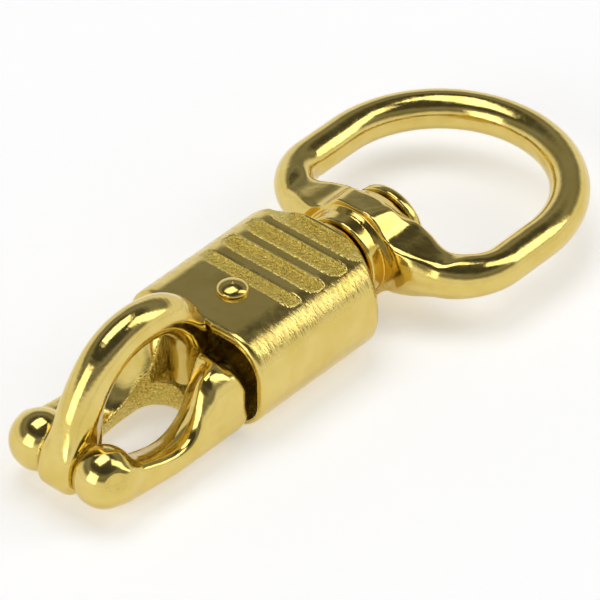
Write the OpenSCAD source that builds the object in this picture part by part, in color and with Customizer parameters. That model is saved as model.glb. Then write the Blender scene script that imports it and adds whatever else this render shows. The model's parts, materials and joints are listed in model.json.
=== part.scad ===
// Quick-release swivel snap hook (panic snap), solid brass.
//
// A forked body carries a pivoting hook. A sleeve slides on the body's shank against
// a coil spring: pulled back towards the eye, it frees the hook, which swings up out
// of the fork. The body's post passes through the base of a ring eye and is peened
// over inside it, so that the eye swivels.
//
// Millimetres. +X runs along the swivel axis towards the eye, +Z is up, and the snap
// lies on the flat underside of its sleeve. The origin is under the middle of its
// length. Every module draws in the mouth frame: X = 0 at the sleeve's open front
// edge and Z = 0 on the swivel axis. place() moves the whole snap to its resting place.

/* [Sleeve] */
// Width of the sleeve
sleeve_w = 26; // [24:0.5:32]
// Height of the sleeve
sleeve_h = 16.6; // [15.6:0.2:20.4]
// Radius of the sleeve's long rounded corners
sleeve_corner_r = 6.5; // [5:0.1:7]
// Length of the sleeve from its mouth to its rear lip
sleeve_len = 28.4; // [26:0.2:36]
// Wall of the sleeve at its mouth
sleeve_wall = 1.4; // [1.1:0.1:1.8]
// Radius of the domed rear shoulder's profile
shoulder_r = 9; // [8:0.5:10]
// Travel of the sleeve when it is pulled back
sleeve_travel = 4.6; // [3.5:0.1:4.8]

/* [Grip grooves] */
// Distance from the mouth to the first groove
groove_start = 11.8; // [11.5:0.1:13]
// Distance from one groove to the next
groove_pitch = 4.85; // [4:0.05:5]
// Number of grooves on each face
groove_count = 4; // [2:1:4]
// Width of a groove at the surface
groove_w = 2.2; // [1.4:0.1:2.6]
// Depth of a groove
groove_depth = 0.55; // [0.3:0.05:0.7]

/* [Sleeve pin] */
// Diameter of the pin through the sleeve
sleeve_pin_d = 3.2; // [2.6:0.1:3.4]
// Diameter of its domed head
sleeve_pin_head_d = 4.8; // [4.2:0.1:6]
// Height of its domed head
sleeve_pin_head_h = 1.1; // [0.8:0.1:1.5]
// Distance from the mouth to the pin
sleeve_pin_x = 8; // [7.8:0.1:8.6]

/* [Fork body] */
// Distance from the mouth to the middle of the prongs' ball ends
prong_reach = 25.6; // [22:0.2:31]
// Radius of the ball ends
ball_r = 4.6; // [4:0.1:5]
// How far each ball's side lies in from the fork's side
ball_inset = 0.45; // [0.3:0.05:0.8]
// How far each ball's underside lies above the fork's underside
ball_lift = 0.12; // [0.08:0.02:0.3]
// Height of the prongs' hollow below the swivel axis
saddle_drop = 1.2; // [0:0.1:2]
// Radius of the fork's long lower edges
fork_low_r = 3.4; // [2:0.1:5]
// Width of the space between the cheeks, behind the narrower way past the balls
cheek_slot_w = 8.2; // [6.8:0.1:8.8]
// How far the neck inside the mouth lies in from the cheeks
neck_inset = 0.9; // [0.6:0.1:1.2]
// Diameter of the shank that the spring sits on
shank_d = 8.8; // [8:0.1:9.2]
// Diameter of the post that the eye turns on
post_d = 6.4; // [5.4:0.1:7]
// Diameter of the peened head inside the eye
head_d = 11.6; // [10:0.1:12]
// Thickness of the peened head
head_h = 3; // [2.4:0.1:3.4]

/* [Hook] */
// Diameter of the hook's bar
hook_bar_d = 6.2; // [5.6:0.1:6.6]
// Width of the hook's nose between the balls
nose_w = 6; // [5.4:0.1:6.2]
// Height of the hook's crest above the swivel axis
crest_h = 17; // [16:0.2:20.4]
// How far the nose's middle lies ahead of the balls' middle
nose_lead = 2.2; // [1.4:0.1:2.8]
// Diameter of the hinge pin
hinge_pin_d = 3; // [2.5:0.1:3.4]
// Radius of the knuckle round the hinge pin
knuckle_r = 3.4; // [3:0.1:3.5]

/* [Swivel eye] */
// Thickness of the ring's bar
ring_bar_d = 6.1; // [5:0.1:6.4]
// Radius of the ring's round far end, to the middle of its bar
ring_r = 19; // [17:0.5:23]
// Distance from the mouth to the middle of the ring's far end
ring_centre_x = 53.5; // [52:0.5:64]
// Radius of the ring's corners beside the hub, to the middle of its bar
ring_corner_r = 8.5; // [7:0.5:10]
// Diameter of the hub's front barrel
barrel_d = 13.4; // [12.8:0.1:13.4]

/* [Clearances] */
// Gap between the fork's cheeks and the sleeve's wall
mouth_gap = 0.45; // [0.3:0.05:0.6]
// Gap between the hook and the walls on both sides of it
hook_gap = 0.25; // [0.15:0.05:0.4]
// Gap between the hook's shoulder and the sleeve's front edge
shoulder_gap = 0.35; // [0.25:0.05:0.5]
// Radial clearance of a pin that something turns on
turn_gap = 0.06; // [0.03:0.01:0.1]
// Side clearance of the sleeve pin in its slot
slot_gap = 0.15; // [0.1:0.05:0.3]
// Radial gap between the sleeve's rear opening and the parts that it passes over
bore_gap = 0.3; // [0.2:0.05:0.4]
// End gap on each side of the swivel's hub
hub_gap = 0.2; // [0.1:0.05:0.3]

/* [Hidden] */
$fn = 64;
eps = 0.01;

// Fork body, worked out from the sleeve's mouth
mouth_w = sleeve_w - 2 * sleeve_wall;
mouth_h = sleeve_h - 2 * sleeve_wall;
mouth_r = sleeve_corner_r - sleeve_wall;
fork_w = mouth_w - 2 * mouth_gap;
fork_h = mouth_h - 2 * mouth_gap;
fork_r = sleeve_corner_r - 0.8;
bottom_z = -fork_h / 2;
neck_w = fork_w - 2 * neck_inset;
neck_h = fork_h - 2 * neck_inset;
neck_r = fork_r - neck_inset;
cheek_end = -0.8;
ball_y = fork_w / 2 - ball_inset - ball_r;
ball_z = ball_r - fork_h / 2 + ball_lift;
slot_w = nose_w + 2 * hook_gap;
prong_end = prong_reach - 1;
saddle_x = 15.5;
slot_end = -4.3;
slot_taper_start = -20;
slot_taper_end = -12;

// Hinge, just inside the mouth so that the sleeve hides the pin's ends. Its depth under
// the sleeve's upper wall is what lets the hook's heel swing clear of that wall.
hinge_x = 1.6;
hinge_depth = 7.7;
hinge_z = mouth_h / 2 - hinge_depth;
recess_w = hook_bar_d + 2 * hook_gap;
recess_gap = 0.4;
recess_floor = hinge_z - 1.4;
recess_end = hinge_x + knuckle_r + recess_gap;

// Shank, spring, collar and post, in line behind the hinge
slot_wall = 0.8;
pin_slot_start = sleeve_pin_x - sleeve_pin_d / 2 - slot_gap;
pin_slot_end = sleeve_pin_x + sleeve_travel + sleeve_pin_d / 2 + slot_gap;
shank_start = min(recess_end, pin_slot_start - slot_wall);
collar_x = sleeve_len - 0.4;
collar_len = 2.6;
hub_x = collar_x + collar_len + hub_gap;
hub_len = 10;  // long enough to carry the ring's base and the post's head behind it
head_x = hub_x + hub_len + hub_gap;
collar_d = barrel_d - 0.2;
rear_bore_d = barrel_d + 2 * bore_gap;
ring_base_x = hub_x + 0.64 * hub_len;

// Spring, between the sleeve pin and the collar
spring_seat = 0.15;
wire_d = 1.3;
spring_d = shank_d + 2 * wire_d + 0.6;
spring_start = sleeve_pin_x + sleeve_pin_d / 2 + spring_seat;
spring_end = collar_x - spring_seat;
spring_turns = 7;
turn_steps = 20;

// Hook's centre line from the hinge to the nose: [x, z, half thickness, half width]
bar_r = hook_bar_d / 2;
crest_z = crest_h - bar_r;
nose_x = -prong_reach - nose_lead;
nose_z = ball_z - 1;
hook_line = [
    [hinge_x - 1, hinge_z + 1.2, bar_r, bar_r],
    [hinge_x - 2.3, hinge_z + 4.4, bar_r, bar_r],
    [hinge_x - 3.5, 0.5 * crest_z, bar_r, bar_r],
    [hinge_x - 5.4, 0.74 * crest_z, bar_r, bar_r],
    [0.26 * nose_x, 0.91 * crest_z, bar_r, bar_r],
    [0.37 * nose_x, 0.985 * crest_z, bar_r, bar_r],
    [0.48 * nose_x, crest_z, bar_r, bar_r],
    [0.59 * nose_x, 0.955 * crest_z, bar_r, bar_r],
    [0.69 * nose_x, 0.84 * crest_z, bar_r, bar_r],
    [0.78 * nose_x, 0.65 * crest_z, bar_r, bar_r],
    [0.845 * nose_x, 0.42 * crest_z, bar_r + 0.3, bar_r],
    [0.885 * nose_x, 0.2 * crest_z, bar_r + 0.8, bar_r],
    [0.915 * nose_x, 0, bar_r + 1.2, nose_w / 2],
    [0.95 * nose_x, nose_z, bar_r + 0.9, nose_w / 2],
];
line_steps = 4;
bar_sides = 24;
nose_rings = 5;

// The snap's ends, and the shift that puts its middle over the origin
nose_tip = 0.95 * nose_x - bar_r - 0.9;
front_x = min(nose_tip, -prong_reach - ball_r);
rear_x = ring_centre_x + ring_r + ring_bar_d / 2;

brass = [0.80, 0.66, 0.28];
cast_brass = [0.74, 0.60, 0.24];
spring_steel = [0.72, 0.72, 0.70];

// ---- Shared shapes ----

// Moves a piece from the mouth frame to the snap's resting place
module place() {
    translate([-(front_x + rear_x) / 2, 0, sleeve_h / 2]) children();
}

// A rectangle across the swivel axis with rounded corners, w along Y and h along Z
module rounded_rect(w, h, r) {
    union() {
        square([h - 2 * r, w], center = true);
        square([h, w - 2 * r], center = true);
        for (sx = [-1, 1], sy = [-1, 1])
            translate([sx * (h / 2 - r), sy * (w / 2 - r)]) circle(r);
    }
}

// A bar of that section along the swivel axis, from x0 to x1
module rounded_bar(w, h, r, x0, x1) {
    translate([x1, 0, 0]) rotate([0, -90, 0]) linear_extrude(x1 - x0) rounded_rect(w, h, r);
}

// A round bar along the swivel axis, from x0 to x1
module axle(d, x0, x1) {
    translate([x0, 0, 0]) rotate([0, 90, 0]) cylinder(h = x1 - x0, d = d);
}

// A round bar across the snap, centred on its middle plane
module cross_pin(d, x, z, len) {
    translate([x, len / 2, z]) rotate([90, 0, 0]) cylinder(h = len, d = d);
}

// A side outline in X and Z made w wide along Y
module side_plate(w) {
    translate([0, w / 2, 0]) rotate([90, 0, 0]) linear_extrude(w) children();
}

// Turns a profile of [distance along X, radius] into a solid round the swivel axis
module turned() {
    rotate([0, 90, 0]) rotate_extrude($fn = 96) children();
}

// Points along a cubic curve with two ends and two handles
function curve(a, b, c, d, n) = [
    for (i = [0 : n]) let (t = i / n, s = 1 - t)
        s * s * s * a + 3 * s * s * t * b + 3 * s * t * t * c + t * t * t * d
];

// Smooth line through points, steps points for each stretch
function through(p, steps) = [
    for (i = [0 : len(p) - 2], k = [0 : steps - 1])
        let (
            t = k / steps,
            a = p[max(i - 1, 0)], b = p[i], c = p[i + 1], d = p[min(i + 2, len(p) - 1)]
        )
        0.5 * (2 * b + (c - a) * t + (2 * a - 5 * b + 4 * c - d) * t * t
               + (3 * b - 3 * c + d - a) * t * t * t),
    p[len(p) - 1],
];

// Faces of a skin over rings of equal length, with the two ends shut or joined up
function skin_faces(rings, sides, closed) = [
    for (i = [0 : rings - (closed ? 1 : 2)], j = [0 : sides - 1])
        let (n = (i + 1) % rings, k = (j + 1) % sides)
        [i * sides + j, i * sides + k, n * sides + k, n * sides + j],
    if (!closed) [for (j = [sides - 1 : -1 : 0]) j],
    if (!closed) [for (j = [0 : sides - 1]) (rings - 1) * sides + j],
];

module skin(rings, closed = false) {
    polyhedron([for (r = rings) each r], skin_faces(len(rings), len(rings[0]), closed));
}

// ---- Fork body ----

// Top line of a prong: ball, hollow, cheek and the flat that runs into the mouth
function prong_top() = [
    each curve([-prong_end, ball_z + 0.6 * ball_r], [-prong_end + 3, ball_z + 0.5 * ball_r],
               [-saddle_x - 3.5, -saddle_drop], [-saddle_x, -saddle_drop], 10),
    each curve([-saddle_x + 1, -saddle_drop], [-10.8, -saddle_drop + 0.3],
               [-10.6, fork_h / 2], [-6.6, fork_h / 2], 12),
    each curve([-3.6, fork_h / 2], [-1.8, fork_h / 2], [-0.8, 0.47 * fork_h],
               [0.2, 0.42 * fork_h], 6),
];

module fork_side() {
    polygon([
        each prong_top(),
        [recess_end + 0.6, neck_h / 2],
        [recess_end + 0.6, bottom_z],
        [-saddle_x, bottom_z],
        [-prong_end, bottom_z + ball_lift + 0.15],
    ]);
}

// Outline from above: the prongs draw in a little towards the balls
module fork_plan() {
    ball_side = fork_w / 2 - ball_inset - 0.15;
    side = curve([-prong_end, ball_side], [-prong_end + 5, ball_side],
                 [-saddle_x - 2, fork_w / 2 + eps], [-saddle_x + 4, fork_w / 2 + eps], 8);
    polygon([
        each side,
        [sleeve_len, fork_w / 2 + eps],
        [sleeve_len, -fork_w / 2 - eps],
        each [for (i = [len(side) - 1 : -1 : 0]) [side[i][0], -side[i][1]]],
    ]);
}

// Section of the cheeks and prongs, with a smaller radius on its lower edges
module fork_section() {
    rounded_rect(fork_w, fork_h, fork_r);
    intersection() {
        rounded_rect(fork_w, fork_h, fork_low_r);
        translate([bottom_z, 0]) square([fork_h, fork_w + 1], center = true);
    }
}

// Cheeks and prongs as one rounded block, with the narrower neck inside the mouth
module fork_block() {
    intersection() {
        side_plate(fork_w + 1) fork_side();
        translate([0, 0, -fork_h]) linear_extrude(2 * fork_h) fork_plan();
        union() {
            translate([cheek_end, 0, 0]) rotate([0, -90, 0])
                linear_extrude(prong_reach + 1 + cheek_end) fork_section();
            rounded_bar(neck_w, neck_h, neck_r, cheek_end - 1, shank_start + 0.6);
        }
    }
}

// Space between the prongs, round at its rear end, and the deeper recess for the hook
module fork_slot() {
    cut_h = sleeve_h;
    front = -prong_reach - 2 * ball_r;
    round_x = slot_end - cheek_slot_w / 2;
    half = slot_w / 2;
    wide = cheek_slot_w / 2;
    translate([0, 0, -cut_h / 2]) linear_extrude(cut_h) polygon([
        [front, -half], [slot_taper_start, -half], [slot_taper_end, -wide], [round_x, -wide],
        [round_x, wide], [slot_taper_end, wide], [slot_taper_start, half], [front, half],
    ]);
    translate([round_x, 0, -cut_h / 2]) cylinder(h = cut_h, d = cheek_slot_w);
    translate([round_x, -recess_w / 2, recess_floor])
        cube([recess_end - round_x, recess_w, cut_h]);
    cross_pin(2 * (knuckle_r + recess_gap), hinge_x, hinge_z, recess_w);
}

// Slot through the shank that the sleeve pin slides in
module pin_slot() {
    slot_r = sleeve_pin_d / 2 + slot_gap;
    for (x = [sleeve_pin_x, sleeve_pin_x + sleeve_travel])
        translate([x, 0, -shank_d]) cylinder(h = 2 * shank_d, r = slot_r);
    translate([sleeve_pin_x, -slot_r, -shank_d]) cube([sleeve_travel, 2 * slot_r, 2 * shank_d]);
}

// Peened head: a flat-backed dome inside the eye
module peened_head() {
    edge_h = 0.35 * head_h;
    dome_h = head_h - edge_h;
    turned() polygon([
        [0, head_x],
        [head_d / 2 - edge_h / 2, head_x],
        each [for (q = [0 : 10 : 80]) [head_d / 2 * cos(q), head_x + edge_h + dome_h * sin(q)]],
        [0, head_x + head_h],
    ]);
}

module fork_body() color(cast_brass) place() {
    difference() {
        union() {
            fork_block();
            for (side = [-1, 1])
                translate([-prong_reach, side * ball_y, ball_z]) rotate([0, 0, 180]) sphere(ball_r);
            axle(shank_d, shank_start, collar_x);
        }
        fork_slot();
        pin_slot();
        cross_pin(hinge_pin_d, hinge_x, hinge_z, fork_w + 2);
    }
    axle(post_d, collar_x - 1, head_x + 0.5);
    peened_head();
}

// ---- Hook ----

// One ring of the hook's bar, square to its centre line at point i
function bar_ring(line, i, shrink = 1, push = 0) =
    let (
        p = line[i],
        ahead = line[min(i + 1, len(line) - 1)] - line[max(i - 1, 0)],
        l = norm([ahead[0], ahead[1]]),
        tx = ahead[0] / l,
        tz = ahead[1] / l
    )
    [for (j = [0 : bar_sides - 1])
        let (q = 360 * j / bar_sides, across = shrink * p[2] * cos(q), side = shrink * p[3] * sin(q))
        [p[0] + tx * push - tz * across, side, p[1] + tz * push + tx * across]];

// The bar, closed at its nose by rings that shrink along a quarter circle
module hook_bar() {
    line = through(hook_line, line_steps);
    last = len(line) - 1;
    skin([
        for (i = [0 : last]) bar_ring(line, i),
        for (k = [1 : nose_rings])
            let (q = 80 * k / nose_rings)
            bar_ring(line, last, cos(q), bar_r * sin(q)),
    ]);
}

// The sleeve's front wall holds the shoulder, so the hook keeps clear of that wall
module shoulder_cut() {
    translate([-shoulder_gap, -sleeve_w, mouth_h / 2 - mouth_gap])
        cube([2 * sleeve_w, 2 * sleeve_w, sleeve_h]);
}

module hook() color(brass) place() {
    difference() {
        union() {
            hook_bar();
            cross_pin(2 * knuckle_r, hinge_x, hinge_z, hook_bar_d - 0.2);
        }
        shoulder_cut();
        cross_pin(hinge_pin_d + 2 * turn_gap, hinge_x, hinge_z, sleeve_w);
    }
}

module hinge_pin() color(brass) place() {
    flush = 0.2;
    cross_pin(hinge_pin_d, hinge_x, hinge_z, neck_w - 2 * flush);
}

// ---- Sleeve ----

// Solid of revolution that rounds the sleeve's rear end down to its lip
module rear_shoulder() {
    shoulder_depth = 7.3;
    shoulder_rho = sleeve_w / 2 - shoulder_depth;
    shoulder_x = sleeve_len - shoulder_r;
    corner = 1.5 * sleeve_w;
    turned() polygon([
        [0, -1],
        [corner, -1],
        [corner, shoulder_x - 1],
        each [for (q = [82 : -8 : 2])
            [shoulder_rho + shoulder_r * sin(q), shoulder_x + shoulder_r * cos(q)]],
        [shoulder_rho, sleeve_len],
        [0, sleeve_len],
    ]);
}

// Round-bottomed grooves across both flats; the fourth follows the rear shoulder down
module grip_grooves() {
    rear_drop = 0.45;
    cut_r = groove_w * groove_w / (8 * groove_depth) + groove_depth / 2;
    for (i = [0 : groove_count - 1], side = [-1, 1])
        cross_pin(2 * cut_r, groove_start + i * groove_pitch,
                  side * (sleeve_h / 2 + cut_r - groove_depth - (i == 3 ? rear_drop : 0)), sleeve_w);
}

module sleeve() color(brass) place() {
    cavity_end = sleeve_len - 4;
    difference() {
        intersection() {
            rounded_bar(sleeve_w, sleeve_h, sleeve_corner_r, 0, sleeve_len);
            rear_shoulder();
        }
        rounded_bar(mouth_w, mouth_h, mouth_r, -1, cavity_end);
        axle(rear_bore_d, cavity_end - 1, sleeve_len + 1);
        grip_grooves();
        translate([sleeve_pin_x, 0, -sleeve_h]) cylinder(h = 2 * sleeve_h, d = sleeve_pin_d);
    }
}

// Pin through both flats: a domed head above, and riveted flush below
module sleeve_pin() color(brass) place() {
    dome_r = (pow(sleeve_pin_head_d / 2, 2) + pow(sleeve_pin_head_h, 2)) / (2 * sleeve_pin_head_h);
    translate([sleeve_pin_x, 0, -sleeve_h / 2]) cylinder(h = sleeve_h + eps, d = sleeve_pin_d);
    intersection() {
        translate([sleeve_pin_x, 0, sleeve_h / 2 + sleeve_pin_head_h - dome_r]) sphere(dome_r);
        translate([sleeve_pin_x, 0, sleeve_h / 2])
            cylinder(h = sleeve_pin_head_h + 1, d = sleeve_pin_head_d + 1);
    }
}

// ---- Spring, collar and eye ----

// Compression spring round the shank: its pitch closes up in the end turns
module spring() color(spring_steel) place() {
    steps = spring_turns * turn_steps;
    coil_r = (spring_d - wire_d) / 2;
    x0 = spring_start + wire_d / 2;
    x1 = spring_end - wire_d / 2;
    skin([
        for (i = [0 : steps])
            let (
                t = i / steps,
                a = 360 * spring_turns * t,
                x = x0 + (x1 - x0) * (t - sin(360 * t) / 11)
            )
            [for (j = [0 : 7])
                let (q = -45 * j, rho = coil_r + wire_d / 2 * cos(q))
                [x + wire_d / 2 * sin(q), rho * cos(a), rho * sin(a)]],
    ]);
}

// Thrust washer between the shank's shoulder and the eye's hub; the spring bears on it
module collar() color(brass) place() {
    chamfer = 0.7;
    turned() polygon([
        [post_d / 2, collar_x],
        [collar_d / 2, collar_x],
        [collar_d / 2, collar_x + collar_len - chamfer],
        [collar_d / 2 - chamfer, collar_x + collar_len],
        [post_d / 2, collar_x + collar_len],
    ]);
}

// The ring's centre line, once round: far half circle, side, corner, base and back
function ring_line() = [
    for (i = [0 : 31])
        let (q = -90 + 180 * i / 32)
        [ring_centre_x + ring_r * cos(q), ring_r * sin(q)],
    for (i = [0 : 10])
        let (q = 90 + 9 * i)
        [ring_base_x + ring_corner_r * (1 + cos(q)),
         ring_r - ring_corner_r * (1 - sin(q))],
    for (i = [0 : 10])
        let (q = 180 + 9 * i)
        [ring_base_x + ring_corner_r * (1 + cos(q)),
         -ring_r + ring_corner_r * (1 + sin(q))],
];

module ring() {
    line = ring_line();
    n = len(line);
    skin([
        for (i = [0 : n - 1])
            let (
                ahead = line[(i + 1) % n] - line[(i + n - 1) % n],
                l = norm(ahead),
                tx = ahead[0] / l,
                ty = ahead[1] / l
            )
            [for (j = [0 : bar_sides - 1])
                let (q = 360 * j / bar_sides, across = ring_bar_d / 2 * cos(q))
                [line[i][0] + ty * across, line[i][1] - tx * across, ring_bar_d / 2 * sin(q)]],
    ], closed = true);
}

// Hub: a barrel that flares into the base of the ring, flat above and below
module hub() {
    flat_h = 12.4;
    barrel_r = barrel_d / 2;
    barrel_end = sleeve_len + sleeve_travel + 0.3;
    intersection() {
        turned() polygon([
            [0, hub_x],
            [barrel_r - 0.5, hub_x],
            [barrel_r, hub_x + 0.5],
            [barrel_r, barrel_end],
            [barrel_r + 0.9, barrel_end + 1.4],
            [barrel_r + 0.4, hub_x + hub_len - 2],
            [barrel_r - 0.8, hub_x + hub_len],
            [0, hub_x + hub_len],
        ]);
        union() {
            axle(2 * barrel_r, hub_x - 1, barrel_end + 0.7);
            translate([barrel_end, -sleeve_w / 2, -flat_h / 2])
                cube([hub_len, sleeve_w, flat_h]);
        }
    }
}

module swivel_eye() color(brass) place() {
    difference() {
        union() {
            ring();
            hub();
        }
        axle(post_d + 2 * turn_gap, hub_x - 1, head_x + 1);
    }
}

fork_body();
hook();
hinge_pin();
sleeve();
sleeve_pin();
spring();
collar();
swivel_eye();
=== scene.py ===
"""Quick-release swivel snap hook in brass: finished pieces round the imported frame.

Lengths in the shape functions are millimetres in the mouth frame: u runs along the
swivel axis from the sleeve's open front edge, y across, and z up from the axis.
"""
import json
import math

import bpy
import numpy as np
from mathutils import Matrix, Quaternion, Vector


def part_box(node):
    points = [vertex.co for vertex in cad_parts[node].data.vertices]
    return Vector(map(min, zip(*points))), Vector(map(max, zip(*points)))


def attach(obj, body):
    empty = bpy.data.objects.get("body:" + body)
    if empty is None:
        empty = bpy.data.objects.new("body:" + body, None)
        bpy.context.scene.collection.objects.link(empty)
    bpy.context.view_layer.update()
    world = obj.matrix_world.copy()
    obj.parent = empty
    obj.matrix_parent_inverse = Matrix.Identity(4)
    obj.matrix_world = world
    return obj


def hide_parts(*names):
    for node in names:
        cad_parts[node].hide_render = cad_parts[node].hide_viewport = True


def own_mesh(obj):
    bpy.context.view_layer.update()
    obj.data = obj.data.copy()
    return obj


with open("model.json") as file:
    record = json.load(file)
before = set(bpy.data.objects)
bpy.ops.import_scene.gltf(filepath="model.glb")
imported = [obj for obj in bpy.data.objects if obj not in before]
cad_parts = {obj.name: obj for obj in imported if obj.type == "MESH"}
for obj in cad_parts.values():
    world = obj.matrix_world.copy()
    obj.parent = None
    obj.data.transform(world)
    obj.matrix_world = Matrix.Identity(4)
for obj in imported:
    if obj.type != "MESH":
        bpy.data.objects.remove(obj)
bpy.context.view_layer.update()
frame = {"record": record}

# ---- Sizes, from the frame ----

MM = 0.001


def box_mm(node):
    """Lowest and highest corners of a CAD node in the mouth frame."""
    low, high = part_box(node)
    return [(np.array(corner) - MOUTH) / MM for corner in (low, high)]


sleeve_low, sleeve_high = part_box("sleeve")
MOUTH = np.array([sleeve_low.x, 0, (sleeve_low.z + sleeve_high.z) / 2])
SLEEVE_LEN = (sleeve_high.x - sleeve_low.x) / MM
HALF_W = (sleeve_high.y - sleeve_low.y) / 2 / MM
HALF_H = (sleeve_high.z - sleeve_low.z) / 2 / MM
CORNER_R = 6.5
LOW_CORNER_R = 8.0
WALL = 1.4
SHOULDER_R = 9.0
SHOULDER_RHO = HALF_W - 7.3
REAR_BORE_R = 7.0
CAVITY_END = SLEEVE_LEN - 4
TRAVEL = 4.6
RUNNING_FIT = 0.06
PATH_GAP = 0.3

FORK_LOW, FORK_HIGH = box_mm("fork_body")
FORK_HALF_W = FORK_HIGH[1]
FORK_HALF_H = FORK_HIGH[2]
FORK_R = 5.7
FORK_LOW_R = 3.0
BALL_R = 4.6
BALL = (FORK_LOW[0] + BALL_R, FORK_HALF_W - 0.45 - BALL_R, BALL_R - FORK_HALF_H + 0.12)
DENT_AHEAD = 2.45
DENT_SIDE = 12.5
DENT_UP = 1.0
DENT_R = 3.2
SLOT_HALF = 3.25
CHEEK_SLOT_HALF = 4.1
SLOT_END = -4.3
RECESS_HALF = 3.35
RECESS_END = 5.4
RECESS_FLOOR = -2.2
SHANK_R = 4.4

PIN_LOW, PIN_HIGH = box_mm("hinge_pin")
HINGE = ((PIN_LOW[0] + PIN_HIGH[0]) / 2, (PIN_LOW[2] + PIN_HIGH[2]) / 2)
PIN_R = (PIN_HIGH[0] - PIN_LOW[0]) / 2
KNUCKLE_R = 3.4

RIVET_LOW, RIVET_HIGH = box_mm("sleeve_pin")
RIVET_U = (RIVET_LOW[0] + RIVET_HIGH[0]) / 2
RIVET_HEAD_R = (RIVET_HIGH[0] - RIVET_LOW[0]) / 2
RIVET_R = 1.6

COLLAR_LOW, COLLAR_HIGH = box_mm("collar")
SPRING_LOW, SPRING_HIGH = box_mm("spring")
HOOK_LOW, HOOK_HIGH = box_mm("hook")
BAR_R = (HOOK_HIGH[1] - HOOK_LOW[1]) / 2

EYE_LOW, EYE_HIGH = box_mm("swivel_eye")
RING_BAR_R = 2.97
BLEND_GROWTH = 0.08
RING_R = EYE_HIGH[1] - RING_BAR_R - BLEND_GROWTH
RING_CENTRE = EYE_HIGH[0] - RING_BAR_R - BLEND_GROWTH - RING_R
RING_BASE = 37.2
RING_CORNER = 8.5
HUB_START = EYE_LOW[0]
HUB_END = HUB_START + 10
BARREL_R = 6.7
POST_R = 3.2
HEAD_R = 6.3
HEAD_EDGE = 1.25
PAD_FRONT = 34.0
PAD_HALF_H = 7.7


# ---- Fields: negative inside, in millimetres ----

def smooth_max(a, b, k):
    """The larger of two fields, rounded over a width of about k where they cross."""
    h = np.clip(0.5 + 0.5 * (a - b) / k, 0, 1)
    return b + (a - b) * h + k * h * (1 - h)


def smooth_min(a, b, k):
    return -smooth_max(-a, -b, k)


def ramp(value, start, end):
    """Smooth step from 0 at start to 1 at end."""
    t = np.clip((value - start) / (end - start), 0, 1)
    return t * t * (3 - 2 * t)


def rounded_rect(a, b, half_a, half_b, r):
    qa = np.abs(a) - (half_a - r)
    qb = np.abs(b) - (half_b - r)
    return np.hypot(np.maximum(qa, 0), np.maximum(qb, 0)) + np.minimum(np.maximum(qa, qb), 0) - r


def through(points, steps):
    """Smooth line through points, steps points for each stretch."""
    p = np.array([points[0], *points, points[-1]], float)
    t = np.arange(steps)[:, None] / steps
    rows = [
        0.5 * (2 * b + (c - a) * t + (2 * a - 5 * b + 4 * c - d) * t ** 2
               + (3 * b - 3 * c + d - a) * t ** 3)
        for a, b, c, d in zip(p[:-3], p[1:-2], p[2:-1], p[3:])
    ]
    return np.vstack([*rows, p[-1]])


def chain(line, u, z):
    """Distance in the middle plane to a line of (u, z, radius), less the radius there."""
    best = np.inf
    for a, b in zip(line[:-1], line[1:]):
        du, dz, dr = b - a
        t = np.clip(((u - a[0]) * du + (z - a[1]) * dz) / (du * du + dz * dz), 0, 1)
        best = np.minimum(best, np.hypot(u - a[0] - t * du, z - a[1] - t * dz) - a[2] - t * dr)
    return best


# ---- Sleeve ----

GROOVE_START = 11.8
GROOVE_PITCH = 4.85
GROOVE_DEPTHS = (0.6, 0.85, 0.85, 1.0)
GROOVE_HALF_LEN = 9.0


def grooves_field(u, y, z):
    """Grip grooves in both flats: a long front ramp, a flat floor and a steep rear wall."""
    best = np.inf
    for i, depth in enumerate(GROOVE_DEPTHS):
        middle = GROOVE_START + i * GROOVE_PITCH
        floor = HALF_H - depth - np.abs(z)
        front = 0.5 * (middle - 0.5 - u) - 0.87 * (np.abs(z) - HALF_H + depth)
        rear = 0.97 * (u - middle - 0.8) - 0.24 * (np.abs(z) - HALF_H + depth)
        best = np.minimum(best, smooth_max(smooth_max(floor, front, 0.3), rear, 0.15))
    return smooth_max(best, np.abs(y) - GROOVE_HALF_LEN, 0.9)


def cavity_field(u, y, z):
    mouth = rounded_rect(y, z, HALF_W - WALL, HALF_H - WALL, CORNER_R - WALL)
    return np.maximum(mouth, u - CAVITY_END)


def sleeve_field(u, y, z):
    rho = np.hypot(y, z)
    bar = rounded_rect(y, z, HALF_W, HALF_H, np.where(z > 0, CORNER_R, LOW_CORNER_R))
    back = rounded_rect(u - SLEEVE_LEN + SHOULDER_R, np.maximum(rho - SHOULDER_RHO, 0),
                        SHOULDER_R, SHOULDER_R, SHOULDER_R - 0.01)
    dome = np.where(u > SLEEVE_LEN - SHOULDER_R, back, rho - SHOULDER_RHO - SHOULDER_R)
    shell = smooth_max(bar, dome, 0.35)
    shell = smooth_max(shell, -u, 0.9)
    shell = smooth_max(shell, -cavity_field(u, y, z), 0.45)
    shell = smooth_max(shell, REAR_BORE_R - rho, 0.3)
    shell = smooth_max(shell, -grooves_field(u, y, z), 0.3)
    rivet_rho = np.hypot(u - RIVET_U, y)
    dish_r = 34.0
    dish_depth = 0.16
    dish = np.hypot(rivet_rho, z - HALF_H + dish_depth - dish_r) - dish_r
    shell = smooth_max(shell, -dish, 0.2)
    return np.maximum(shell, RIVET_R + RUNNING_FIT - rivet_rho)


def sleeve_brushed(u, y, z):
    """1 round the long edges, which were dressed by hand."""
    inward = np.minimum(np.abs(y) - HALF_W + CORNER_R, np.abs(z) - HALF_H + CORNER_R)
    return ramp(inward, 2.0, 3.4) * ramp(u, -0.2, 1.2)


def sleeve_cast_and_bounce(u, y, z):
    """1 on the rough groove floors and inside, 0 on the finished outside; the same mask lays on the
    painted bounce gold.
    """
    groove = ramp(grooves_field(u, y, z), 0.16, 0.04)
    inside = ramp(cavity_field(u, y, z), 0.3, 0.05)
    return np.maximum(groove, inside)


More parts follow.
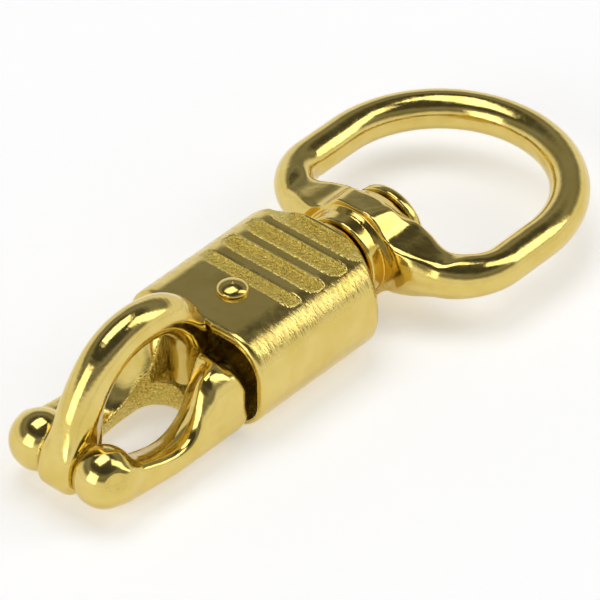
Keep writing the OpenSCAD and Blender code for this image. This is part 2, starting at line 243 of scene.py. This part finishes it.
# ---- Fork body ----

PRONG_TOP_OUTER = [
    (-32, 0.7), (-25.6, 0.7), (-23.5, 0.2), (-22, -0.2), (-20, -0.7), (-17.6, -1.3),
    (-15.2, -1.6), (-13.2, -1.4), (-11.7, -0.6), (-10.5, 0.7), (-9.4, 2.6), (-8.2, 5.0),
    (-7.0, 6.9), (-5.4, 7.6), (-4.0, 7.2), (-2.8, 6.1), (-1.7, 5.0), (-0.8, 3.8),
    (-0.1, 2.6), (1, 1.6),
]
PRONG_TOP_INNER = [
    (-32, 0.4), (-25.6, 0.2), (-22, -1.8), (-19, -3.3), (-16.5, -4.1), (-14, -4.5),
    (-11.5, -4.3), (-9.6, -3.6), (-8.2, -2.6), (-7, -1.3), (-5.8, 0.2), (-4.9, 1.5),
    (-4.1, 3.2), (-3.3, 4.8), (-2.4, 5.0), (-1.2, 4.1), (-0.4, 2.9), (1, 1.8),
]


def height_and_slope(points, u):
    line = through(points, 8)
    return (np.interp(u, line[:, 0], line[:, 1]),
            np.interp(u, line[:, 0], np.gradient(line[:, 1], line[:, 0])))


def prong_field(u, y, z):
    """Both prongs and cheeks before the slot is cut: their hollowed top falls inwards."""
    across = ramp(np.abs(y), 3.0, 8.8)
    outer, outer_slope = height_and_slope(PRONG_TOP_OUTER, u)
    inner, inner_slope = height_and_slope(PRONG_TOP_INNER, u)
    height = inner + (outer - inner) * across
    slope = inner_slope + (outer_slope - inner_slope) * across
    top = (z - height) / np.sqrt(1 + slope * slope + 0.1)
    rear = ramp(u, -2.6, 0.9)
    half_w = FORK_HALF_W - 0.8 * ramp(u, -14, -24) - 0.9 * rear
    half_h = FORK_HALF_H - 1.5 * rear
    corner = np.where(z > 0, FORK_R, FORK_LOW_R) - 1.4 * rear
    bar = rounded_rect(y, z, half_w, half_h, corner)
    edge = 1.3 + 1.2 * ramp(u, -13.5, -8)
    body = smooth_max(bar, top, edge)
    body = smooth_max(body, u - 0.3, 1.2)
    ball = np.sqrt((u - BALL[0]) ** 2 + (np.abs(y) - BALL[1]) ** 2 + (z - BALL[2]) ** 2) - BALL_R
    narrow = np.hypot(np.abs(y) - BALL[1], z - BALL[2] + 0.1) - BALL_R + 0.3
    body = smooth_max(body, BALL[0] + 0.3 - u, 1.0)
    body = smooth_max(body, np.where(u < -14, narrow - 0.5 * (u + 25.6), -9), 0.8)
    return smooth_min(body, ball, 1.3)


def slot_field(u, y, z):
    """Space between the prongs, the hook's recess and the round of its knuckle."""
    round_end = SLOT_END - CHEEK_SLOT_HALF
    half = SLOT_HALF + (CHEEK_SLOT_HALF - SLOT_HALF) * ramp(u, -21, -11)
    slot = np.hypot(np.maximum(u - round_end, 0), y) - half
    recess = np.maximum(np.maximum(np.abs(y) - RECESS_HALF, RECESS_FLOOR - z),
                        np.maximum(u - RECESS_END, round_end - u))
    knuckle = np.maximum(np.hypot(u - HINGE[0], z - HINGE[1]) - KNUCKLE_R - 0.4,
                         np.abs(y) - RECESS_HALF)
    return np.minimum(np.minimum(slot, recess), knuckle)


def fork_field(u, y, z):
    rho = np.hypot(y, z)
    neck = rounded_rect(y, z - 0.1 * HINGE[1], 10.2, 4.4, 3.6)
    neck = smooth_max(neck, np.abs(u - 1.8) - 4.2, 0.6)
    body = smooth_min(prong_field(u, y, z), neck, 1.0)
    shank = smooth_max(rho - SHANK_R, np.abs(u - 16) - (COLLAR_LOW[0] - 16), 0.3)
    pin_slot = np.hypot(u - np.clip(u, RIVET_U, RIVET_U + TRAVEL), y) - RIVET_R - 0.15
    shank = np.maximum(shank, -pin_slot)
    body = smooth_min(body, shank, 0.5)
    body = smooth_max(body, -slot_field(u, y, z), 0.35)
    dent = np.sqrt((u - BALL[0] + DENT_AHEAD) ** 2 + (y + DENT_SIDE) ** 2
                   + (z - DENT_UP) ** 2) - DENT_R
    body = smooth_max(body, -dent, 0.5)
    body = np.maximum(body, PIN_R + 0.04 - np.hypot(u - HINGE[0], z - HINGE[1]))
    post = np.maximum(rho - POST_R, np.maximum(COLLAR_LOW[0] - 1 - u, u - HUB_END - 1))
    rim = HUB_END + HEAD_EDGE
    dome_h = FORK_HIGH[0] - rim
    dome = (np.hypot(np.maximum(u - rim, 0) / dome_h, rho / HEAD_R) - 1) * dome_h
    head = smooth_max(np.maximum(dome, rho - HEAD_R), HUB_END + 0.2 - u, 0.4)
    return np.minimum(np.minimum(body, post), head)


def fork_cast_and_bounce(u, y, z):
    """1 on the slot's walls and floor, which keep their cast surface and get the painted bounce gold.
    """
    return ramp(slot_field(u, y, z), 0.22, 0.05)


# ---- Hook ----

HOOK_LINE = [
    (-0.9, -2.2, 3.1), (-0.9, 0.8, 3.1), (-1.1, 4.2, 3.1), (-2.0, 7.4, 3.1), (-3.9, 10.3, 3.1),
    (-6.9, 12.7, 3.1), (-10.2, 13.72, 3.1), (-13.3, 13.85, 3.1), (-16.4, 13.2, 3.1),
    (-19.3, 11.6, 3.1), (-21.9, 8.8, 3.1), (-24.1, 5.3, 3.1), (-25.8, 1.6, 3.1),
    (-26.9, -1.2, 3.1), (-27.2, -2.75, 3.1),
]
TONGUE_LINE = [
    (-23.4, 5.6, 2.2), (-24.2, 2.4, 3.0), (-24.8, -0.8, 3.3), (-25.6, -2.6, 3.1),
]
TONGUE_HALF = 2.1


def hook_field(u, y, z):
    line = through(HOOK_LINE, 5)
    in_plane = chain(line, u, z)
    to_line = in_plane + BAR_R
    round_bar = np.hypot(to_line, y) - BAR_R
    flat_nose = smooth_max(in_plane, np.abs(y) - BAR_R + 0.1, 1.5)
    bar = round_bar + (flat_nose - round_bar) * ramp(z, 5.5, 0.5) * ramp(u, -18, -22)
    bar = smooth_max(bar, RECESS_FLOOR + 0.35 - z - 40 * ramp(u, -12, -18), 0.5)
    tongue = smooth_max(chain(through(TONGUE_LINE, 5), u, z), np.abs(y) - TONGUE_HALF, 0.6)
    knuckle = smooth_max(np.hypot(u - HINGE[0], z - HINGE[1]) - KNUCKLE_R,
                         np.abs(y) - BAR_R + 0.1, 0.5)
    shape = smooth_min(smooth_min(bar, tongue, 0.7), knuckle, 1.2)
    shoulder = np.minimum(u + 0.35, z - HALF_H + WALL + 0.45)
    shape = smooth_max(shape, shoulder, 0.3)
    # Keeps the blends within the bar's width, clear of the recess walls
    shape = np.maximum(shape, np.abs(y) - BAR_R - 0.02)
    return np.maximum(shape, PIN_R + RUNNING_FIT - np.hypot(u - HINGE[0], z - HINGE[1]))


# ---- Swivel eye ----

def loop_distance(u, y):
    """Signed distance in the ring's plane to its centre line, negative in the hole."""
    corner_u = RING_BASE + RING_CORNER
    qu = corner_u - u
    qy = np.abs(y) - (RING_R - RING_CORNER)
    near = np.hypot(np.maximum(qu, 0), np.maximum(qy, 0)) + np.minimum(np.maximum(qu, qy), 0)
    far = np.hypot(u - RING_CENTRE, y) - RING_R
    return np.where(u > RING_CENTRE, far, near - RING_CORNER)


def eye_field(u, y, z):
    """Ring and flared barrel in one curve, under flat-topped arms that rise over the hub."""
    rho = np.hypot(y, z)
    side = np.abs(y)
    at_base = ramp(u, RING_BASE + 9, RING_BASE + 4)
    arm = ramp(side, 14.5, 7.5) * at_base
    flat = ramp(side, 21.5, 14.0) * at_base
    loop = loop_distance(u, y)
    round_ring = (np.hypot(loop / (RING_BAR_R + 1.0 * arm), z / (RING_BAR_R + 0.5 * arm)) - 1)
    cove = 0.45 * np.clip((u - 31.4) / 3.1, 0, 1) ** 2
    barrel = smooth_max(rho - BARREL_R - cove, np.abs(u - 34.5) - (34.5 - HUB_START), 0.4)
    flared = smooth_min(round_ring * RING_BAR_R, barrel, 2.6)
    arms = (np.hypot(loop / (RING_BAR_R + 1.4 * arm + 0.2 * flat),
                     z / (RING_BAR_R + 2.4 * arm + 0.5 * flat)) - 1) * RING_BAR_R
    arms = smooth_max(arms, np.abs(z) - RING_BAR_R - 1.0 * arm - 0.1 - 2.5 * (1 - flat), 0.4)
    pad = smooth_max(rho - 8.1, np.abs(z) - PAD_HALF_H + 0.17 * (u - PAD_FRONT), 0.4)
    pad = smooth_max(pad, side - 4.6, 2.0)
    pad = smooth_max(pad, np.maximum(PAD_FRONT - 3 - u, u - 38.4), 0.8)
    arms = smooth_min(arms, pad, 4.2)
    arms = smooth_max(arms, PAD_FRONT - 1.5 * ramp(side, 6, 11) - u, 0.3)
    back = smooth_max(rho - 6.75, np.abs(u - 37) - HUB_END + 37, 2.2)
    shape = smooth_min(smooth_min(flared, arms, 0.25), back, 0.8)
    rear_face = np.where((rho < 9) & (u < HUB_END + 5), u - HUB_END, -9)
    shape = smooth_max(shape, rear_face, 0.2)
    # Leaves room for the sleeve's rear lip, which slides over the barrel
    sleeve_path = np.minimum(rho - BARREL_R, SLEEVE_LEN + TRAVEL + PATH_GAP - u)
    shape = np.maximum(shape, sleeve_path)
    return np.maximum(shape, np.minimum(POST_R + RUNNING_FIT - rho, HUB_END + 1 - u))


# ---- Meshes ----

def crossing_points(value, cells):
    """Mean of the points where the field changes sign on each cell's twelve edges."""
    total = np.zeros((len(cells), 3))
    count = np.zeros(len(cells))
    for axis in range(3):
        b, c = [other for other in range(3) if other != axis]
        for db in (0, 1):
            for dc in (0, 1):
                start = cells.copy()
                start[:, b] += db
                start[:, c] += dc
                end = start.copy()
                end[:, axis] += 1
                v0 = value[tuple(start.T)]
                v1 = value[tuple(end.T)]
                cut = (v0 < 0) != (v1 < 0)
                point = start.astype(float)
                point[:, axis] += np.where(cut, v0 / np.where(cut, v0 - v1, 1), 0)
                total += point * cut[:, None]
                count += cut
    return total / count[:, None]


def gradient(field, p):
    h = 0.02
    out = np.empty_like(p)
    for axis in range(3):
        step = np.zeros(3)
        step[axis] = h
        out[:, axis] = (field(*(p + step).T) - field(*(p - step).T)) / (2 * h)
    return out


def surface_net(field, low, high, step):
    """Closed quads where field is 0, with every point slid onto the surface."""
    axes = [np.arange(a - 2 * step, b + 3 * step, step) for a, b in zip(low, high)]
    value = field(*np.meshgrid(*axes, indexing="ij", sparse=True))
    inside = value < 0
    corners = sum(
        inside[i:len(axes[0]) - 1 + i, j:len(axes[1]) - 1 + j, k:len(axes[2]) - 1 + k].astype(int)
        for i in (0, 1) for j in (0, 1) for k in (0, 1)
    )
    cells = np.argwhere((corners > 0) & (corners < 8))
    number = np.full(corners.shape, -1)
    number[tuple(cells.T)] = np.arange(len(cells))
    quads = []
    for axis in range(3):
        b, c = (axis + 1) % 3, (axis + 2) % 3
        changed = np.argwhere(np.diff(inside.astype(np.int8), axis=axis) != 0)
        around = []
        for db, dc in ((-1, -1), (0, -1), (0, 0), (-1, 0)):
            cell = changed.copy()
            cell[:, b] += db
            cell[:, c] += dc
            around.append(number[tuple(cell.T)])
        faces = np.stack(around, 1)
        leaving = inside[tuple(changed.T)]
        quads.append(np.where(leaving[:, None], faces, faces[:, ::-1]))
    origin = np.array([a[0] for a in axes])
    points = origin + crossing_points(value, cells) * step
    for _ in range(5):
        slope = gradient(field, points)
        move = field(*points.T) / np.maximum((slope ** 2).sum(1), 0.05)
        points -= slope * np.clip(move, -step, step)[:, None]
    return points, np.vstack(quads)


def make_piece(name, node, points, faces, material):
    """A smooth-shaded object for points in the mouth frame, in place of a CAD node."""
    mesh = bpy.data.meshes.new(name)
    mesh.from_pydata((MOUTH + points * MM).tolist(), [], [list(map(int, f)) for f in faces])
    mesh.polygons.foreach_set("use_smooth", [True] * len(mesh.polygons))
    mesh.materials.append(material)
    mesh.update()
    piece = bpy.data.objects.new(name, mesh)
    bpy.context.scene.collection.objects.link(piece)
    body = next(b for b, members in frame["record"]["behaviour"]["bodies"].items()
                if node in members)
    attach(piece, body)
    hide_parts(node)
    return piece


def store(piece, name, values):
    layer = piece.data.attributes.new(name, "FLOAT", "POINT")
    layer.data.foreach_set("value", np.asarray(values, np.float32))


def carved(name, node, field, step, material, cast_and_bounce=None, brushed=None, margin=0.4, reach=1.6):
    """A piece polygonised from its field, with its cast areas, its brushed areas and its painted
    recess shade marked.
    """
    box_low, box_high = box_mm(node)
    points, faces = surface_net(field, box_low - margin, box_high + margin, step)
    piece = make_piece(name, node, points, faces, material)
    slope = gradient(field, points)
    normal = slope / np.linalg.norm(slope, axis=1)[:, None]
    # How closed in each point is; the brass is painted darker and more orange there as painted shade
    openness = np.clip(field(*(points + reach * normal).T) / reach, 0, 1)
    store(piece, "painted_shade", 1 - openness)
    for mark, where in (("cast_and_bounce", cast_and_bounce), ("brushed", brushed)):
        store(piece, mark, where(*points.T) if where else np.zeros(len(points)))
    print(name, len(points), "points", len(faces) * 2, "triangles")
    return piece


def lathe(profile, centre, axis):
    """Points and faces of a closed profile of (distance along axis, radius) turned round it."""
    sides = 96
    along = np.array(axis, float)
    across = np.array([0.0, 1.0, 0.0]) if abs(along[1]) < 0.5 else np.array([0.0, 0.0, 1.0])
    up = np.cross(along, across)
    angle = 2 * math.pi * np.arange(sides) / sides
    spoke = np.cos(angle)[:, None] * across + np.sin(angle)[:, None] * up
    points = [centre + a * along + r * spoke for a, r in profile]
    rings = len(profile)
    faces = [(i * sides + j, i * sides + (j + 1) % sides,
              (i + 1) % rings * sides + (j + 1) % sides, (i + 1) % rings * sides + j)
             for i in range(rings) for j in range(sides)]
    return np.vstack(points), faces


def plain(piece):
    """Marks a turned piece as nowhere cast, brushed or painted with recess shade."""
    for name in ("painted_shade", "cast_and_bounce", "brushed"):
        store(piece, name, np.zeros(len(piece.data.vertices)))
    return piece


# ---- Materials ----

def link(tree, source, target):
    tree.links.new(source, target)


def noise(tree, vector, scale, detail=3.0, distortion=0.0):
    node = tree.nodes.new("ShaderNodeTexNoise")
    node.inputs["Scale"].default_value = scale
    node.inputs["Detail"].default_value = detail
    node.inputs["Distortion"].default_value = distortion
    link(tree, vector, node.inputs["Vector"])
    return node.outputs["Fac"]


def remap(tree, value, low, high, to_low, to_high):
    node = tree.nodes.new("ShaderNodeMapRange")
    for name, number in (("From Min", low), ("From Max", high), ("To Min", to_low),
                         ("To Max", to_high)):
        node.inputs[name].default_value = number
    link(tree, value, node.inputs["Value"])
    return node.outputs["Result"]


def combine(tree, operation, a, b):
    node = tree.nodes.new("ShaderNodeMath")
    node.operation = operation
    for value, socket in ((a, node.inputs[0]), (b, node.inputs[1])):
        if isinstance(value, (int, float)):
            socket.default_value = value
        else:
            link(tree, value, socket)
    return node.outputs["Value"]


def blend_colour(tree, factor, a, b):
    node = tree.nodes.new("ShaderNodeMix")
    node.data_type = "RGBA"
    link(tree, factor, node.inputs["Factor"])
    for value, socket in ((a, node.inputs[6]), (b, node.inputs[7])):
        if isinstance(value, tuple):
            socket.default_value = (*value, 1)
        else:
            link(tree, value, socket)
    return node.outputs[2]


def bump(tree, height, distance, normal=None):
    node = tree.nodes.new("ShaderNodeBump")
    node.inputs["Strength"].default_value = 1.0
    node.inputs["Distance"].default_value = distance
    link(tree, height, node.inputs["Height"])
    if normal is not None:
        link(tree, normal, node.inputs["Normal"])
    return node.outputs["Normal"]


def stretched(tree, vector, turn, scale):
    """Coordinates turned and then scaled unevenly, for marks that run one way."""
    node = tree.nodes.new("ShaderNodeMapping")
    node.inputs["Rotation"].default_value = turn
    node.inputs["Scale"].default_value = scale
    link(tree, vector, node.inputs["Vector"])
    return node.outputs["Vector"]


def attribute(tree, name):
    node = tree.nodes.new("ShaderNodeAttribute")
    node.attribute_name = name
    return node.outputs["Fac"]


BRASS = (0.74, 0.58, 0.185)
BRASS_DEEP = (0.69, 0.52, 0.135)
# Painted shade: darker, more orange brass laid into hollows and gaps where shade falls
BRASS_PAINTED_SHADE = (0.68, 0.45, 0.06)
# Painted bounce light: brighter, deeper gold laid on the cast walls and floors for the light they
# throw on one another
PAINTED_BOUNCE_GOLD = (0.92, 0.76, 0.20)


def brass(name, rough, ripple, grain, strokes_depth):
    """Brass. rough is its roughness range; ripple, grain and strokes_depth are in metres."""
    material = bpy.data.materials.new(name)
    material.use_nodes = True
    tree = material.node_tree
    shader = tree.nodes["Principled BSDF"]
    place = tree.nodes.new("ShaderNodeTexCoord").outputs["Object"]
    cast_and_bounce = attribute(tree, "cast_and_bounce")
    brushed = attribute(tree, "brushed")
    painted_shade = attribute(tree, "painted_shade")
    tone = blend_colour(tree, remap(tree, noise(tree, place, 260, 4), 0.35, 0.7, 0, 1),
                        BRASS, BRASS_DEEP)
    # Painted shade: hollows are blended towards the darker, more orange brass
    tone = blend_colour(tree, remap(tree, painted_shade, 0.25, 0.9, 0, 0.85), tone, BRASS_PAINTED_SHADE)
    # Painted bounce light: cast areas are speckled towards the brighter gold; their roughness and
    # pits below are the real cast finish
    speckle = noise(tree, place, 3400, 2)
    tone = blend_colour(tree, combine(tree, "MULTIPLY", cast_and_bounce, remap(tree, speckle, 0.3, 0.7, 0.3, 1)),
                        tone, PAINTED_BOUNCE_GOLD)
    link(tree, tone, shader.inputs["Base Color"])
    shader.inputs["Metallic"].default_value = 1.0

    mottled = remap(tree, noise(tree, place, 800, 5, 0.5), 0.35, 0.68, rough[0], rough[1])
    strokes = noise(tree, stretched(tree, place, (0.5, 0.1, 0.35), (1700, 520, 520)), 1, 5, 0.6)
    marked = combine(tree, "MULTIPLY", brushed, remap(tree, strokes, 0.42, 0.62, -0.03, 0.12))
    worn = combine(tree, "ADD", mottled, marked)
    roughness = combine(tree, "ADD", worn, combine(tree, "MULTIPLY", cast_and_bounce, 0.04))
    link(tree, roughness, shader.inputs["Roughness"])

    normal = bump(tree, noise(tree, place, 300, 3, 0.3), ripple)
    normal = bump(tree, noise(tree, place, 4200, 3), grain, normal=normal)
    if strokes_depth > 0:
        normal = bump(tree, combine(tree, "MULTIPLY", brushed, strokes), strokes_depth,
                      normal=normal)
    pits = combine(tree, "MULTIPLY", cast_and_bounce, noise(tree, place, 2100, 5, 0.5))
    normal = bump(tree, pits, 0.0006, normal=normal)
    link(tree, normal, shader.inputs["Normal"])
    return material


def spring_wire():
    material = bpy.data.materials.new("spring_wire")
    material.use_nodes = True
    tree = material.node_tree
    shader = tree.nodes["Principled BSDF"]
    place = tree.nodes.new("ShaderNodeTexCoord").outputs["Object"]
    tone = blend_colour(tree, remap(tree, noise(tree, place, 900, 4), 0.35, 0.7, 0, 1),
                        (0.62, 0.61, 0.58), (0.46, 0.45, 0.42))
    link(tree, tone, shader.inputs["Base Color"])
    shader.inputs["Metallic"].default_value = 1.0
    link(tree, remap(tree, noise(tree, place, 2400, 3), 0.3, 0.7, 0.24, 0.4),
         shader.inputs["Roughness"])
    link(tree, bump(tree, noise(tree, place, 6000, 3), 0.00001), shader.inputs["Normal"])
    return material


polished = brass("polished_brass", (0.11, 0.19), 0.00006, 0.000004, 0)
cast_brass = brass("cast_brass", (0.10, 0.18), 0.00007, 0.000005, 0)
satin = brass("satin_brass", (0.17, 0.25), 0.00003, 0.000006, 0.00012)
wire = spring_wire()


# ---- Pieces ----

sleeve = carved("sleeve_shell", "sleeve", sleeve_field, 0.24, satin, sleeve_cast_and_bounce,
                sleeve_brushed)
fork = carved("fork_casting", "fork_body", fork_field, 0.22, cast_brass, fork_cast_and_bounce)
hook = carved("hook_bar", "hook", hook_field, 0.17, polished)
eye = carved("eye_ring", "swivel_eye", eye_field, 0.22, polished, margin=1.5, reach=3.2)


def rounded_profile(start, end, r):
    """Profile of a plain round pin with small rounded edges."""
    edge = 0.25
    tiny = 0.02
    arc = [(edge * (1 - math.cos(q)), edge * (1 - math.sin(q)))
           for q in np.linspace(0, math.pi / 2, 5)]
    head = [(start + a, r - b) for a, b in arc]
    tail = [(end - a, r - b) for a, b in reversed(arc)]
    return [(start, tiny), *head, *tail, (end, tiny)]


hinge_profile = rounded_profile(PIN_LOW[1], PIN_HIGH[1], PIN_R)
hinge_pin = plain(make_piece("hinge_pin_rod", "hinge_pin",
                             *lathe(hinge_profile, np.array([HINGE[0], 0, HINGE[1]]), (0, 1, 0)),
                             polished))


def rivet_profile():
    """The sleeve pin from its flush lower end to its domed head."""
    rise = RIVET_HIGH[2] - HALF_H
    dome = [(HALF_H + rise * math.sin(q), RIVET_HEAD_R * math.cos(q))
            for q in np.linspace(0.12, math.pi / 2 - 0.01, 14)]
    return [(-HALF_H, 0.02), (-HALF_H, RIVET_R - 0.2), (-HALF_H + 0.2, RIVET_R),
            (HALF_H - 0.3, RIVET_R), (HALF_H - 0.12, RIVET_HEAD_R - 0.12), *dome]


rivet = plain(make_piece("sleeve_rivet", "sleeve_pin",
                         *lathe(rivet_profile(), np.array([RIVET_U, 0, 0]), (0, 0, 1)), polished))

COLLAR_CHAMFER = 0.7
collar_r = COLLAR_HIGH[1]
collar_profile = [
    (COLLAR_LOW[0], POST_R + 0.03), (COLLAR_LOW[0], collar_r - 0.15),
    (COLLAR_LOW[0] + 0.15, collar_r), (COLLAR_HIGH[0] - COLLAR_CHAMFER, collar_r),
    (COLLAR_HIGH[0] - 0.1, collar_r - COLLAR_CHAMFER),
    (COLLAR_HIGH[0], collar_r - COLLAR_CHAMFER - 0.15), (COLLAR_HIGH[0], POST_R + 0.03),
]
collar = plain(make_piece("collar_washer", "collar",
                          *lathe(collar_profile, np.zeros(3), (1, 0, 0)), polished))
# The collar sits in the shaded gap between sleeve and hub, so it is painted all over in the painted
# recess shade
collar.data.attributes["painted_shade"].data.foreach_set("value", [1.0] * len(collar.data.vertices))


def coil():
    """The spring's wire: a helix whose pitch closes up in its end turns."""
    wire_r = 0.65
    turns = 7
    steps = turns * 48
    sides = 14
    coil_r = SPRING_HIGH[2] - wire_r
    t = np.arange(steps + 1) / steps
    turn = 2 * math.pi * turns * t
    start = SPRING_LOW[0] + wire_r
    run = SPRING_HIGH[0] - wire_r - start
    middle = start + run * (t - np.sin(2 * math.pi * t) / 11)
    q = 2 * math.pi * np.arange(sides) / sides
    rho = coil_r + wire_r * np.cos(q)[None, :]
    points = np.stack([middle[:, None] + wire_r * np.sin(q)[None, :] + 0 * rho,
                       rho * np.cos(turn)[:, None], rho * np.sin(turn)[:, None]], 2)
    faces = [(i * sides + j, (i + 1) * sides + j, (i + 1) * sides + (j + 1) % sides,
              i * sides + (j + 1) % sides) for i in range(steps) for j in range(sides)]
    caps = [tuple(range(sides)), tuple(range((steps + 1) * sides - 1, steps * sides - 1, -1))]
    return points.reshape(-1, 3), faces + caps


spring = plain(make_piece("spring_coil", "spring", *coil(), wire))
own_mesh(spring)


# ---- Floor, light and camera ----

FLOOR_DROP = 0.00005
CAMERA_DISTANCE = 0.9

def floor():
    bpy.ops.mesh.primitive_plane_add(size=4)
    plane = bpy.context.object
    plane.name = "floor"
    plane.location.z = -FLOOR_DROP
    material = bpy.data.materials.new("paper")
    material.use_nodes = True
    shader = material.node_tree.nodes["Principled BSDF"]
    shader.inputs["Base Color"].default_value = (0.93, 0.93, 0.93, 1)
    shader.inputs["Roughness"].default_value = 0.9
    shader.inputs["Specular IOR Level"].default_value = 0.1
    shader.inputs["Emission Color"].default_value = (1, 1, 1, 1)
    shader.inputs["Emission Strength"].default_value = 0.36
    plane.data.materials.append(material)


def softbox(name, toward, distance, width, height, radiance):
    """A rectangular area light in that direction from the snap, facing it."""
    light = bpy.data.lights.new(name, "AREA")
    light.shape = "RECTANGLE"
    light.size = width
    light.size_y = height
    light.energy = radiance * math.pi * width * height
    lamp = bpy.data.objects.new(name, light)
    bpy.context.scene.collection.objects.link(lamp)
    direction = Vector(toward).normalized()
    lamp.location = direction * distance
    lamp.rotation_euler = direction.to_track_quat("Z", "Y").to_euler()


def studio():
    """Room that is pale below and at its horizon and dim overhead, with three soft boxes."""
    world = bpy.data.worlds.new("studio")
    bpy.context.scene.world = world
    world.use_nodes = True
    tree = world.node_tree
    place = tree.nodes.new("ShaderNodeTexCoord").outputs["Generated"]
    split = tree.nodes.new("ShaderNodeSeparateXYZ")
    link(tree, place, split.inputs["Vector"])
    bands = tree.nodes.new("ShaderNodeValToRGB")
    bands.color_ramp.interpolation = "EASE"
    stops = ((0.22, 0.95), (0.44, 0.20), (0.62, 0.28), (0.80, 0.06))
    for index, (position, value) in enumerate(stops):
        if index > 1:
            bands.color_ramp.elements.new(position)
        bands.color_ramp.elements[index].position = position
        bands.color_ramp.elements[index].color = (value, value, value, 1)
    link(tree, split.outputs["Z"], bands.inputs["Fac"])
    link(tree, bands.outputs["Color"], tree.nodes["Background"].inputs["Color"])
    softbox("softbox_right", (0.55, -0.47, 0.70), 0.7, 0.24, 0.60, 2.2)
    softbox("softbox_top", (0.03, 0.20, 0.98), 0.7, 0.50, 0.36, 2.4)
    softbox("softbox_left", (-0.92, 0.07, 0.42), 0.7, 0.42, 0.40, 2.0)


def camera():
    azimuth = math.radians(-48.08)
    elevation = math.radians(38.98)
    back = Vector((math.sin(azimuth) * math.cos(elevation),
                   -math.cos(azimuth) * math.cos(elevation), math.sin(elevation)))
    aim = Vector((0.00141, 0.0015, 0.00401))
    data = bpy.data.cameras.new("camera")
    data.lens = 372.6
    data.sensor_width = 36
    view = bpy.data.objects.new("camera", data)
    bpy.context.scene.collection.objects.link(view)
    view.location = aim + back * CAMERA_DISTANCE
    roll = Quaternion((0, 0, 1), math.radians(-0.45))
    view.rotation_euler = (back.to_track_quat("Z", "Y") @ roll).to_euler()
    bpy.context.scene.camera = view


floor()
studio()
camera()
bpy.context.scene.view_settings.view_transform = "Standard"
